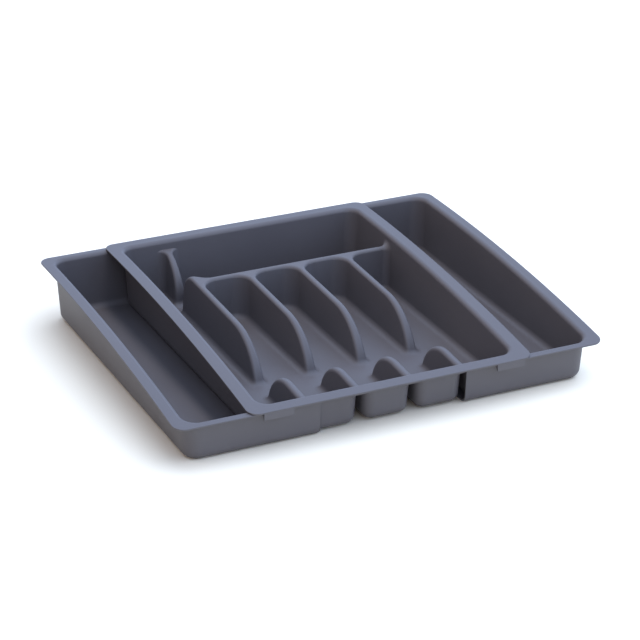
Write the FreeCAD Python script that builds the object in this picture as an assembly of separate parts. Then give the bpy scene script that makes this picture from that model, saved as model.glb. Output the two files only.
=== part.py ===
import FreeCAD, Part
import math
import os

# An expandable cutlery tray: a middle tray with moulded dividers, and two side trays under its rim.
# Sizes are in millimetres. X runs left to right, Y front to back, and Z up from the drawer floor.

# Rim of the middle tray: its size, its heights at the back and the front, and the rise of its crown
rim_length = 300.0
rim_depth = 380.0
rim_back_height = 64.0
rim_front_height = 42.7
crown_rise = 7.25
rim_overhang = 15.0
rim_corner = 11.0
rim_round = 4.2
edge_round = 0.5

# Moulding: wall, lean of the walls in degrees, and the clearances between the trays
wall = 1.6
draft_angle = 3.0
slide_gap = 0.3
nest_gap = 1.6

# Inside of the middle tray: corners of the walls, floor rounding, and flares of the humps and the rib
pocket_corner = 12.0
floor_round = 6.6
wall_flare = 9.0

# Humps that run in from the front wall: drop below the rim, reach, nose, and ridge slope in degrees
hump_drop = 5.3
hump_reach = 97.0
hump_nose_radius = 38.0
hump_slope = 4.0

# Dividers in line with the humps, whose ridges slope too, and the clear width of the end columns
divider_count = 4
end_column = 42.1
fin_base = 11.8
divider_drop = 13.2
divider_nose_radius = 62.0
divider_slope = 1.7
nose_gap = 26.0
ridge_round_share = 0.46

# Cross wall that closes the columns at the back, its flares, and the first divider's tail behind it
divider_flare = 15.0
flare_limit_share = 0.4
cross_flare = 7.0
room_share = 0.8
tail_radius = 22.6
passage = 17.0

# Rib on the back wall, facing the tail, and the lift of its nose above the floor's rounding
rib_drop = 8.5
rib_reach = 50.5
rib_nose_lift = 0.4

# Snap clips under the middle rim, two in front and two behind, set a little to the right
clip_length = 30.4
clip_setback = 11.8
clip_shift = 2.6
clip_drop = 8.3
clip_catch = 2.4
clip_tip = 0.6
clip_inset = 0.3

# Side trays: length, rim, corners, and how far each is drawn out beyond the middle rim
side_length = 149.5
side_overhang = 13.0
side_corner = 14.0
side_rim_corner = 12.0
side_floor_round = 6.9
left_draw = 72.5
right_draw = 81.7

# How far a cutting shape runs past what it cuts, and how close an edge lies to the point that picks it
overrun = 20.0
pick_reach = 0.02

# Sizes and places that follow from the values above
lean = math.tan(math.radians(draft_angle))
half_length = rim_length / 2
half_depth = rim_depth / 2
rim_middle_height = (rim_back_height + rim_front_height) / 2 + crown_rise
floor_top = wall + slide_gap + wall
ridge_top = rim_back_height - divider_drop
hump_top = rim_front_height - hump_drop
rib_top = rim_back_height - rib_drop
side_drop = wall + slide_gap
side_inset = clip_inset + wall + slide_gap
under_round = rim_round - wall
fin_half = fin_base / 2
floor_half = half_length - rim_overhang - lean * (rim_middle_height - floor_top)
divider_pitch = 2 * (floor_half - end_column - fin_half) / (divider_count - 1)
divider_places = [(i - (divider_count - 1) / 2) * divider_pitch for i in range(divider_count)]
hump_crest_y = hump_reach - half_depth - hump_nose_radius
divider_crest_y = hump_reach - half_depth + nose_gap + divider_nose_radius
rib_nose_radius = rib_top - floor_top - floor_round - rib_nose_lift
rib_crest_y = half_depth - rib_reach + rib_nose_radius
tail_crest_y = half_depth - rib_reach - passage - tail_radius
cross_wall_y = tail_crest_y - fin_half
clip_x = half_length - clip_setback - clip_length / 2
middle_x = (left_draw - right_draw) / 2
side_outer_x = -half_length - left_draw
side_inner_x = side_outer_x + side_length


def vec(x, y, z):
    return FreeCAD.Vector(x, y, z)


# The rim's top follows one circle from front to back, and all rim faces are concentric with it
crown = Part.Arc(vec(0, -half_depth, rim_front_height), vec(0, 0, rim_middle_height),
                 vec(0, half_depth, rim_back_height)).toShape().Curve


def crown_z(y, drop):
    """Height of the face that lies the given drop below the rim's top."""
    return crown.Center.z + math.sqrt((crown.Radius - drop) ** 2 - (y - crown.Center.y) ** 2)


def crown_arc(y0, y1, drop):
    ends = [vec(0, y, crown_z(y, drop)) for y in (y0, (y0 + y1) / 2, y1)]
    return Part.Arc(ends[0], ends[1], ends[2]).toShape()


def line(p, q):
    return Part.makeLine(p, q)


def across(edges, x0, x1):
    """Solid made by drawing a closed outline in the YZ plane across from x0 to x1."""
    face = Part.Face(Part.Wire(Part.__sortEdges__(edges)))
    face.translate(vec(x0, 0, 0))
    return face.extrude(vec(x1 - x0, 0, 0))


def under_crown(drop, x0, x1):
    """Everything below the face that lies the given drop under the rim's top."""
    y0, y1 = -half_depth - overrun, half_depth + overrun
    top = crown_arc(y0, y1, drop)
    a, d = vec(0, y0, crown_z(y0, drop)), vec(0, y1, crown_z(y1, drop))
    b, c = vec(0, y0, -overrun), vec(0, y1, -overrun)
    return across([top, line(d, c), line(c, b), line(b, a)], x0, x1)


def block(low, high):
    """Block with flat leaning sides. Each end is given as its height and its x and y limits."""
    corners = []
    for z, x0, x1, y0, y1 in (low, high):
        corners.append([vec(x0, y0, z), vec(x1, y0, z), vec(x1, y1, z), vec(x0, y1, z)])
    rings = [corners[0][::-1], corners[1]]
    for i in range(len(corners[0])):
        j = (i + 1) % len(corners[0])
        rings.append([corners[0][i], corners[0][j], corners[1][j], corners[1][i]])
    faces = [Part.Face(Part.makePolygon(ring + ring[:1])) for ring in rings]
    return Part.makeSolid(Part.makeShell(faces))


def rounded(shape, radius, points):
    """Round the edges that pass through the given points."""
    marks = [Part.Vertex(p) for p in points]
    edges = [e for e in shape.Edges if any(e.distToShape(m)[0] < pick_reach for m in marks)]
    return shape.makeFillet(radius, edges)


def level_edges(shape, z):
    """Edges that lie at one height."""
    return [e for e in shape.Edges if all(abs(v.Z - z) < pick_reach for v in e.Vertexes)]


# Inner faces of the middle tray's walls at a given height, moved out by the given skin
def wall_x(z, skin):
    return half_length - rim_overhang - lean * (rim_middle_height - z) + skin


def front_y(z, skin):
    return -(half_depth - rim_overhang - lean * (rim_front_height - z) + skin)


def back_y(z, skin):
    return half_depth - rim_overhang - lean * (rim_back_height - z) + skin


def fin(x0, x1, y0, y1, top, skin):
    """Divider-like block whose limits are given at the floor and whose sides lean together upwards."""
    ends = []
    for z in (0, top):
        s = skin + lean * (z - floor_top)
        ends.append((z, x0 + s, x1 - s, y0 + s, y1 - s))
    return block(ends[0], ends[1])


def fin_reach(z, skin):
    """Half thickness of a divider at a given height."""
    return fin_half - skin - lean * (z - floor_top)


def crest(centre_y, centre_z, radius, slope):
    """Point where a sloping ridge runs into its nose, which is an arc about the given centre."""
    turn = math.radians(slope)
    return vec(0, centre_y - radius * math.sin(turn), centre_z + radius * math.cos(turn))


def roof(y_start, centre_y, centre_z, radius, slope):
    """Everything below a ridge that starts at y_start, rises by its slope and ends in a rounded nose."""
    ahead = y_start < centre_y
    turn = math.radians(slope)
    bend_angle = (math.radians(90) + turn + (0 if ahead else math.radians(180))) / 2
    top = crest(centre_y, centre_z, radius, slope)
    start = vec(0, y_start, top.z + (y_start - top.y) * math.tan(turn))
    bend = vec(0, centre_y + radius * math.cos(bend_angle), centre_z + radius * math.sin(bend_angle))
    nose = vec(0, centre_y + (radius if ahead else -radius), centre_z)
    low = -overrun - radius
    foot, heel = vec(0, nose.y, low), vec(0, y_start, low)
    edges = [line(start, top), Part.Arc(top, bend, nose).toShape()]
    edges += [line(nose, foot), line(foot, heel), line(heel, start)]
    return across(edges, -rim_length, rim_length)


def ridge_z(y, drop):
    """Height of the dividers' ridge, or of the line that lies the given drop square below it."""
    turn = math.radians(divider_slope)
    return ridge_top + (y - cross_wall_y) * math.tan(turn) - drop / math.cos(turn)


def front_comb(skin):
    """The humps with the front wall behind them, which gives their flares."""
    top = hump_top + wall
    reach = half_length
    slab = block((0, -reach, reach, -half_depth - overrun, front_y(0, skin)),
                 (top, -reach, reach, -half_depth - overrun, front_y(top, skin)))
    nose_y = hump_crest_y + hump_nose_radius + overrun
    y0 = -half_depth - overrun / 2
    fins = [fin(x - fin_half, x + fin_half, y0, nose_y, top, skin) for x in divider_places]
    comb = slab.multiFuse(fins).removeSplitter()
    z = hump_top / 2
    marks = [vec(x + s * fin_reach(z, skin), front_y(z, skin), z) for x in divider_places for s in (-1, 1)]
    comb = rounded(comb, wall_flare + skin, marks)
    nose = (hump_crest_y, hump_top - hump_nose_radius, hump_nose_radius - skin, hump_slope)
    comb = comb.common(roof(-rim_depth, *nose))
    ridge = 2 * fin_reach(hump_top, skin) * ridge_round_share
    y, z = crest(*nose).y, crest(*nose).z
    marks = [vec(x + s * fin_reach(z, skin), y, z) for x in divider_places for s in (-1, 1)]
    return rounded(comb, ridge, marks)


def tail_waste(skin):
    """What is cut away above and behind the rounded tail of the first divider."""
    nose = (tail_crest_y, ridge_z(tail_crest_y, tail_radius), tail_radius - skin, divider_slope)
    x, reach, y0, y1 = divider_places[0], divider_pitch / 2, crest(*nose).y, rim_depth
    waste = block((-overrun, x - reach, x + reach, y0, y1), (rim_back_height, x - reach, x + reach, y0, y1))
    return waste.cut(roof(-rim_depth, *nose))


def middle_comb(skin):
    """The dividers and the cross wall, with the right wall that the cross wall runs into."""
    top = ridge_top + wall
    first = divider_places[0]
    flare = min(divider_flare, flare_limit_share * (divider_pitch - fin_base))
    nose_y = divider_crest_y - divider_nose_radius - overrun
    inside = skin + lean * (top - floor_top)
    ends = [tail_crest_y + tail_radius + overrun] + [cross_wall_y + inside] * (divider_count - 1)
    pieces = [fin(x - fin_half, x + fin_half, nose_y, y, top, skin) for x, y in zip(divider_places, ends)]
    pieces.append(fin(first - inside, half_length + overrun / 2,
                      cross_wall_y - fin_half, cross_wall_y + fin_half, top, skin))
    comb = pieces[0].multiFuse(pieces[1:]).removeSplitter()
    z = ridge_top / 2
    half = fin_reach(z, skin)
    y0, y1 = cross_wall_y - half, cross_wall_y + half
    marks = [vec(x + s * half, y0, z) for x in divider_places for s in (-1, 1)]
    marks.remove(vec(first - half, y0, z))
    comb = rounded(comb, flare + skin, marks + [vec(first + half, y1, z)])
    middle_z = ridge_z(divider_crest_y, divider_nose_radius)
    nose = (divider_crest_y, middle_z, divider_nose_radius - skin, divider_slope)
    comb = comb.common(roof(rim_depth, *nose)).cut(tail_waste(skin)).removeSplitter()
    ridge = 2 * fin_reach(ridge_top, skin) * ridge_round_share
    y = (divider_crest_y + cross_wall_y) / 2
    z = ridge_z(y, skin)
    marks = [vec(x + s * fin_reach(z, skin), y, z) for x in divider_places for s in (-1, 1)]
    y = cross_wall_y + fin_reach(ridge_z(cross_wall_y, skin), skin)
    comb = rounded(comb, ridge, marks + [vec(0, y, ridge_z(y, skin))])
    flare = min(cross_flare, room_share * (crown_z(cross_wall_y, rim_round) - ridge_top))
    y0, y1 = cross_wall_y - fin_half - overrun, cross_wall_y + fin_half + overrun
    wall_slab = block((0, wall_x(0, skin), half_length + overrun, y0, y1),
                      (rim_back_height, wall_x(rim_back_height, skin), half_length + overrun, y0, y1))
    z = ridge_z(cross_wall_y, skin)
    comb = comb.fuse(wall_slab).removeSplitter()
    return rounded(comb, flare + skin, [vec(wall_x(z, skin), cross_wall_y, z)])


def back_rib(skin):
    """The rib with the back wall behind it, which gives its flares."""
    x = divider_places[0]
    top = rib_top + wall
    breadth = fin_half + wall_flare + overrun
    slab = block((0, x - breadth, x + breadth, back_y(0, skin), half_depth + overrun),
                 (top, x - breadth, x + breadth, back_y(top, skin), half_depth + overrun))
    nose_y = rib_crest_y - rib_nose_radius - overrun
    rib = fin(x - fin_half, x + fin_half, nose_y, half_depth + overrun / 2, top, skin)
    comb = slab.fuse(rib).removeSplitter()
    z = rib_top / 2
    marks = [vec(x + s * fin_reach(z, skin), back_y(z, skin), z) for s in (-1, 1)]
    comb = rounded(comb, wall_flare + skin, marks)
    middle_z, radius = rib_top - rib_nose_radius, rib_nose_radius - skin
    comb = comb.common(roof(rim_depth, rib_crest_y, middle_z, radius, 0))
    turn = math.radians(90 / 2)
    y, z = rib_crest_y - radius * math.sin(turn), middle_z + radius * math.cos(turn)
    ridge = 2 * fin_reach(rib_top, skin) * ridge_round_share
    return rounded(comb, ridge, [vec(x + s * fin_reach(z, skin), y, z) for s in (-1, 1)])


def middle_form(skin):
    """Space inside the middle tray, moved out by the skin: none for the inside, the wall for the outside."""
    z0, z1 = floor_top - skin, rim_back_height + overrun
    ends = [(z, -wall_x(z, skin), wall_x(z, skin), front_y(z, skin), back_y(z, skin)) for z in (z0, z1)]
    form = block(ends[0], ends[1])
    z = (z0 + z1) / 2
    marks = [vec(s * wall_x(z, skin), y, z) for s in (-1, 1) for y in (front_y(z, skin), back_y(z, skin))]
    form = rounded(form, pocket_corner + skin, marks)
    form = form.cut([front_comb(skin), middle_comb(skin), back_rib(skin)])
    foot_round = min(floor_round, room_share * wall_flare)
    return form.makeFillet(foot_round + skin, level_edges(form, z0))


def side_x(z, skin):
    """Inner face of the left side tray's end wall at a given height, moved out by the given skin."""
    return side_outer_x + side_overhang + lean * (rim_middle_height - z) - skin


def side_form(skin):
    """Space inside the left side tray, moved out by the given skin. It runs on through the open end."""
    out = nest_gap + wall + skin
    z0, z1 = wall - skin, rim_back_height + overrun
    x1 = side_inner_x + overrun
    ends = []
    for z in (z0, z1):
        ends.append((z, side_x(z, skin), x1, front_y(z, out), back_y(z, out)))
    form = block(ends[0], ends[1])
    middle = [(a + b) / 2 for a, b in zip(ends[0], ends[1])]
    form = rounded(form, side_corner + skin, [vec(middle[1], y, middle[0]) for y in middle[-2:]])
    edges = [e for e in level_edges(form, z0) if min(v.X for v in e.Vertexes) < side_inner_x]
    return form.makeFillet(side_floor_round + skin, edges)


def flange(x0, x1, half_y, drop, corner, rounded_ends):
    """Flat rim of even thickness that follows the crown, as a plate without its opening."""
    y0, y1 = -half_depth - overrun, half_depth + overrun
    top, low = crown_arc(y0, y1, drop), crown_arc(y0, y1, drop + wall)
    a, b = vec(0, y0, crown_z(y0, drop)), vec(0, y0, crown_z(y0, drop + wall))
    c, d = vec(0, y1, crown_z(y1, drop + wall)), vec(0, y1, crown_z(y1, drop))
    sheet = across([top, line(a, b), low, line(c, d)], x0 - overrun, x1 + overrun)
    plan = block((0, x0, x1, -half_y, half_y), (rim_back_height + overrun, x0, x1, -half_y, half_y))
    plan = rounded(plan, corner, [vec(x, y, wall) for x in rounded_ends for y in (-half_y, half_y)])
    plate = sheet.common(plan)
    return rounded(plate, edge_round, [vec(rounded_ends[0], 0, crown_z(0, d)) for d in (drop, drop + wall)])


def clip(x, side):
    """Tongue of the middle rim with a snap hook that reaches under the side tray's rim."""
    y_out = half_depth - clip_inset
    y_in = y_out - wall
    y_tip = y_in - clip_catch
    hook = side_drop + wall + slide_gap
    outline = [(y_out, wall / 2), (y_out, clip_drop), (y_in, clip_drop), (y_tip, hook + clip_tip),
               (y_tip, hook), (y_in, hook), (y_in, wall / 2)]
    points = [vec(0, side * y, crown_z(side * y, drop)) for y, drop in outline]
    edges = [line(p, q) for p, q in zip(points, points[1:] + points[:1])]
    return across(edges, x - clip_length / 2, x + clip_length / 2)


def tray_shell(form, plate, drop, end_x, x0, x1):
    """Tray with its rim: the outside form under the crown joined to the rim plate, less the inside form."""
    body = form(wall).common(under_crown(drop + wall / 2, x0, x1))
    z = crown_z(0, drop + wall)
    tray = rounded(body.fuse(plate).removeSplitter(), under_round, [vec(end_x(z, wall), 0, z)])
    z = crown_z(0, drop)
    return rounded(tray.cut(form(0)).removeSplitter(), rim_round, [vec(end_x(z, 0), 0, z)])


def make_middle_tray():
    plate = flange(-half_length, half_length, half_depth, 0, rim_corner, (-half_length, half_length))
    tray = tray_shell(middle_form, plate, 0, wall_x, -rim_length, rim_length)
    places = (clip_shift - clip_x, clip_shift + clip_x)
    return tray.fuse([clip(x, side) for x in places for side in (-1, 1)])


def make_left_tray():
    half_y = half_depth - side_inset
    plate = flange(side_outer_x, side_inner_x, half_y, side_drop, side_rim_corner, (side_outer_x,))
    return tray_shell(side_form, plate, side_drop, side_x, side_outer_x - overrun, side_inner_x)


def place(shape, x):
    moved = shape.copy()
    moved.translate(vec(x, 0, 0))
    return moved


os.makedirs("parts", exist_ok=True)
left_tray = make_left_tray()
right_tray = left_tray.mirror(vec(0, 0, 0), vec(1, 0, 0))
trays = {"middle_tray": place(make_middle_tray(), middle_x),
         "left_side_tray": place(left_tray, middle_x),
         "right_side_tray": place(right_tray, middle_x + right_draw - left_draw)}
for name, shape in trays.items():
    shape.exportStep("parts/" + name + ".step")
    print(name, len(shape.Solids), "solid", round(shape.Volume), "mm3", "valid", shape.isValid())
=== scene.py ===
# %% [markdown]
# # An expandable cutlery tray
#
# The real object is three plastic mouldings: a middle tray with five columns, and a left and a right
# tray that slide out from under its rim. The solid model already has their true shapes, down to the
# flares of the dividers and the roundings of the rims. So this lesson doesn't model the trays again.
# It loads them, gives them the finish of a matte moulded plastic, and puts them in a small studio.

# %% Load the tray
import math

import bpy
from mathutils import Matrix, Vector


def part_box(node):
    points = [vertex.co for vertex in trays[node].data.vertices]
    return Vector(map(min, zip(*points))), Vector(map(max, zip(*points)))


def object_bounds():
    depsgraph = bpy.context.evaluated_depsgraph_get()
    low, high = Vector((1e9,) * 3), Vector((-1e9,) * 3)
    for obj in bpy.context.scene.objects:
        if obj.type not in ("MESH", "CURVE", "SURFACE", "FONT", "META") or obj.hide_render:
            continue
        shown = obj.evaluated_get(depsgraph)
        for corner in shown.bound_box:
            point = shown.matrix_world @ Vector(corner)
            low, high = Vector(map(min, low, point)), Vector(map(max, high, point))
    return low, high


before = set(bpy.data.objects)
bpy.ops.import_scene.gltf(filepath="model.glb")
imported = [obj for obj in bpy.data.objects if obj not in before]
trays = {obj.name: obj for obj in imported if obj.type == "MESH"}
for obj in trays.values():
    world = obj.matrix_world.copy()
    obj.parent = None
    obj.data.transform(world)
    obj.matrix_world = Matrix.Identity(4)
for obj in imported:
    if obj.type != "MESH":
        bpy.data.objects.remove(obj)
cad_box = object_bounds()

for tray_name in sorted(trays):
    low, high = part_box(tray_name)
    size_mm = [round((b - a) * 1000, 1) for a, b in zip(low, high)]
    print(tray_name, size_mm, "mm,", len(trays[tray_name].data.polygons), "faces")

# %% [markdown]
# ## Smooth faces and crisp edges
#
# A moulding has two kinds of edge. Dividers, floors and rims flow into each other, while the foot of
# the rim and the cut ends of the clips turn sharply. A mesh made of small flat faces would show all of
# them as facets. Marking every face smooth, and then only the edges that turn by more than a set
# angle as sharp, keeps both kinds as they are, without moving a single point of the mesh.

# %% Shade the mouldings
sharp_turn = math.radians(30)

for tray in trays.values():
    tray.data.shade_smooth()
    tray.data.set_sharp_from_angle(angle=sharp_turn)
print("shaded", len(trays), "mouldings, sharp above", round(math.degrees(sharp_turn)), "degrees")

# %% [markdown]
# ## The plastic
#
# The trays are moulded from one batch of a warm, slightly violet grey plastic. The mould was etched, so
# the surface has a very fine grain: it scatters most of the light and gives wide, soft highlights.
# A single colour would look like a computer picture, and a picture of plastic would carry its own
# light. So the finish is made of two noises at real sizes. A broad one makes the colour and the gloss
# drift a little, as plastic does where it cooled faster, and a fine one makes the etched grain.

# %% Helpers for the node tree
noise_range = (0.3, 0.7)


def add_node(tree, kind, **settings):
    """Add one node and set its plain properties."""
    node = tree.nodes.new(kind)
    for name, value in settings.items():
        setattr(node, name, value)
    return node


def add_noise(tree, size, detail):
    """Noise whose blotches are about the given size, in metres, fixed to the piece."""
    place = add_node(tree, "ShaderNodeTexCoord")
    noise = add_node(tree, "ShaderNodeTexNoise", noise_dimensions="3D")
    noise.inputs["Scale"].default_value = 1 / size
    noise.inputs["Detail"].default_value = detail
    tree.links.new(place.outputs["Object"], noise.inputs["Vector"])
    return noise.outputs["Fac"]


def spread(tree, value, low, high):
    """Map the usual range of a noise to the range from low to high."""
    ramp = add_node(tree, "ShaderNodeMapRange")
    ramp.inputs["From Min"].default_value = noise_range[0]
    ramp.inputs["From Max"].default_value = noise_range[1]
    ramp.inputs["To Min"].default_value = low
    ramp.inputs["To Max"].default_value = high
    tree.links.new(value, ramp.inputs["Value"])
    return ramp.outputs["Result"]


# %% Mix the tray plastic
plastic_dark = (0.083, 0.075, 0.079, 1)
plastic_light = (0.093, 0.085, 0.089, 1)
drift_size = 0.09
drift_detail = 3
grain_size = 0.0011
grain_detail = 2
gloss_range = (0.48, 0.55)
grain_height = 0.00002


def make_tray_plastic():
    """Grey plastic whose colour, gloss and grain come from noises."""
    plastic = bpy.data.materials.new("tray_plastic")
    plastic.use_nodes = True
    tree = plastic.node_tree
    shader = tree.nodes["Principled BSDF"]
    drift = add_noise(tree, drift_size, drift_detail)
    tint = add_node(tree, "ShaderNodeMix", data_type="RGBA")
    tint.inputs["A"].default_value = plastic_dark
    tint.inputs["B"].default_value = plastic_light
    tree.links.new(spread(tree, drift, 0, 1), tint.inputs["Factor"])
    tree.links.new(tint.outputs["Result"], shader.inputs["Base Color"])
    tree.links.new(spread(tree, drift, *gloss_range), shader.inputs["Roughness"])
    grain = add_node(tree, "ShaderNodeBump")
    grain.inputs["Distance"].default_value = grain_height
    tree.links.new(add_noise(tree, grain_size, grain_detail), grain.inputs["Height"])
    tree.links.new(grain.outputs["Normal"], shader.inputs["Normal"])
    return plastic


tray_plastic = make_tray_plastic()
for tray in trays.values():
    tray.data.materials.clear()
    tray.data.materials.append(tray_plastic)
print("plastic on", ", ".join(sorted(trays)))

# %% [markdown]
# ## The floor
#
# A sheet of cream studio paper, which looks white in the blue light of the room. It is much larger
# than the tray, so its edge never comes into view, and it throws light back up against the outer
# walls. It belongs to the stage, not to the object.

# %% Lay the floor
floor_reach = 8.0
paper_cloud = 0.4
paper_cloud_detail = 2
paper_roughness = 0.9
paper_specular = 0.1
paper_dark = (0.91, 0.81, 0.65, 1)
paper_light = (0.95, 0.85, 0.68, 1)


def make_floor():
    """One large square of faintly clouded paper, level with the foot of the trays."""
    corners = [(-floor_reach, -floor_reach, 0), (floor_reach, -floor_reach, 0),
               (floor_reach, floor_reach, 0), (-floor_reach, floor_reach, 0)]
    mesh = bpy.data.meshes.new("floor")
    mesh.from_pydata(corners, [], [(0, 1, 2, 3)])
    floor = bpy.data.objects.new("floor", mesh)
    bpy.context.scene.collection.objects.link(floor)
    paper = bpy.data.materials.new("studio_paper")
    paper.use_nodes = True
    tree = paper.node_tree
    shader = tree.nodes["Principled BSDF"]
    shader.inputs["Roughness"].default_value = paper_roughness
    shader.inputs["Specular IOR Level"].default_value = paper_specular
    tint = add_node(tree, "ShaderNodeMix", data_type="RGBA")
    tint.inputs["A"].default_value = paper_dark
    tint.inputs["B"].default_value = paper_light
    tree.links.new(add_noise(tree, paper_cloud, paper_cloud_detail), tint.inputs["Factor"])
    tree.links.new(tint.outputs["Result"], shader.inputs["Base Color"])
    mesh.materials.append(paper)
    return floor


floor = make_floor()
print("floor", 2 * floor_reach, "m wide")

# %% [markdown]
# ## The room
#
# The tray stands in a room with a large window on the right. Towards the window the room is bright
# and blue, and away from it dim and a little warmer. The flat rims mirror the bright side softly, so
# they look blue, while the inner walls that look left see the dim side and stay darker. A picture of a
# real room could do the same, but a few nodes can be read and changed. They compare each direction with
# the direction of the window: 1 is straight towards it and -1 straight away from it.

# %% Make the room
window_side = (0.85, 0.10, 0.52)
window_colour = (0.70, 0.92, 1.36, 1)
shade_colour = (1.09, 0.94, 0.89, 1)
shade_reach = (-0.5, 0.35)
room_strength = (0.18, 1.74)
strength_reach = (-1, 1)


def make_room():
    """A room that is bright and blue towards its window, on the right, and dimmer away from it."""
    room = bpy.data.worlds.new("window_room")
    room.use_nodes = True
    tree = room.node_tree
    direction = add_node(tree, "ShaderNodeTexCoord")
    towards = add_node(tree, "ShaderNodeVectorMath", operation="DOT_PRODUCT")
    towards.inputs[1].default_value = window_side
    tree.links.new(direction.outputs["Generated"], towards.inputs[0])
    level = add_node(tree, "ShaderNodeMapRange")
    level.inputs["From Min"].default_value = strength_reach[0]
    level.inputs["From Max"].default_value = strength_reach[1]
    level.inputs["To Min"].default_value = room_strength[0]
    level.inputs["To Max"].default_value = room_strength[1]
    tree.links.new(towards.outputs["Value"], level.inputs["Value"])
    share = add_node(tree, "ShaderNodeMapRange")
    share.inputs["From Min"].default_value = shade_reach[0]
    share.inputs["From Max"].default_value = shade_reach[1]
    tree.links.new(towards.outputs["Value"], share.inputs["Value"])
    tint = add_node(tree, "ShaderNodeMix", data_type="RGBA")
    tint.inputs["A"].default_value = shade_colour
    tint.inputs["B"].default_value = window_colour
    tree.links.new(share.outputs["Result"], tint.inputs["Factor"])
    tree.links.new(tint.outputs["Result"], tree.nodes["Background"].inputs["Color"])
    tree.links.new(level.outputs["Result"], tree.nodes["Background"].inputs["Strength"])
    return room


bpy.context.scene.world = make_room()
bpy.context.scene.view_settings.view_transform = "Standard"
print("room from", room_strength[0], "to", room_strength[1], "strong")

# %% [markdown]
# ## The lamps
#
# One lamp hangs almost straight above. That is why the shadow of the middle rim falls right below its
# edge on the floor of the left tray, and why the columns grow darker towards their right-hand walls.
# Its own highlights are switched off, because they made bright spots at the feet of the dividers that
# the real tray doesn't show. A weak lamp in front lifts the walls that look towards the viewer.
#
# Such small lamps would also throw hard shadows on the paper. So the paper is kept out of their light
# and gets a wide soft box of its own, which leaves a soft shadow where the tray stands on it.

# %% Helpers for the lamps
tray_middle = (Vector(cad_box[0]) + Vector(cad_box[1])) / 2


def add_lamp(name, place, size, power, colour):
    """Hang a round lamp that shines at the middle of the tray. Sizes are in metres, power in watts."""
    data = bpy.data.lights.new(name, "AREA")
    data.shape = "DISK"
    data.size = size
    data.energy = power
    data.color = colour
    lamp = bpy.data.objects.new(name, data)
    lamp.location = place
    lamp.rotation_euler = (tray_middle - lamp.location).to_track_quat("-Z", "Y").to_euler()
    bpy.context.scene.collection.objects.link(lamp)
    return lamp


def link_floor(lamp, state):
    """Set what a lamp does to the paper: INCLUDE lights the paper alone, EXCLUDE all but the paper."""
    group = bpy.data.collections.new(lamp.name + "_paper")
    group.objects.link(floor)
    group.collection_objects[0].light_linking.link_state = state
    lamp.light_linking.receiver_collection = group


# %% Hang the lamps
key_place = Vector((0.02, 0.10, 1.7))
key_size = 0.42
key_power = 18
key_colour = (1.0, 0.96, 0.93)
fill_place = Vector((-0.5, -2.2, 1.2))
fill_size = 1.4
fill_power = 8
fill_colour = (0.72, 0.92, 1.32)
box_place = Vector((0.85, 0.1, 2.4))
box_size = 4.0
box_power = 74
box_colour = (0.77, 0.86, 1.0)

overhead_lamp = add_lamp("overhead_lamp", key_place, key_size, key_power, key_colour)
overhead_lamp.visible_glossy = False
link_floor(overhead_lamp, "EXCLUDE")
front_fill = add_lamp("front_fill", fill_place, fill_size, fill_power, fill_colour)
link_floor(front_fill, "EXCLUDE")
soft_box = add_lamp("soft_box", box_place, box_size, box_power, box_colour)
link_floor(soft_box, "INCLUDE")
print("lamps of", key_power, fill_power, "and", box_power, "W")

# %% [markdown]
# ## The camera
#
# A long lens, far away, seen from the front left and from a little above. The view is given as a
# target on the tray, two angles, a distance and a slight roll, so that each can be read on its own.

# %% Place the camera
view_target = Vector((0.00458, -0.00454, 0.030))
view_azimuth = math.radians(-25.64)
view_elevation = math.radians(25.074)
view_roll = math.radians(0.452)
view_distance = 2.35563
lens_length = 131.12
sensor_width = 36


def place_camera():
    """Set the camera back from the target along the two view angles, and roll it."""
    level = math.cos(view_elevation)
    back = Vector((math.sin(view_azimuth) * level,
                   -math.cos(view_azimuth) * level,
                   math.sin(view_elevation)))
    right = (-back).cross(Vector((0, 0, 1))).normalized()
    up = right.cross(-back)
    side = right * math.cos(view_roll) + up * math.sin(view_roll)
    top = up * math.cos(view_roll) - right * math.sin(view_roll)
    data = bpy.data.cameras.new("camera")
    data.sensor_width = sensor_width
    data.lens = lens_length
    camera = bpy.data.objects.new("camera", data)
    turn = Matrix((side, top, back)).transposed().to_4x4()
    camera.matrix_world = Matrix.Translation(view_target + back * view_distance) @ turn
    bpy.context.scene.collection.objects.link(camera)
    return camera


bpy.context.scene.camera = place_camera()
print("camera at", [round(c, 3) for c in bpy.context.scene.camera.location])
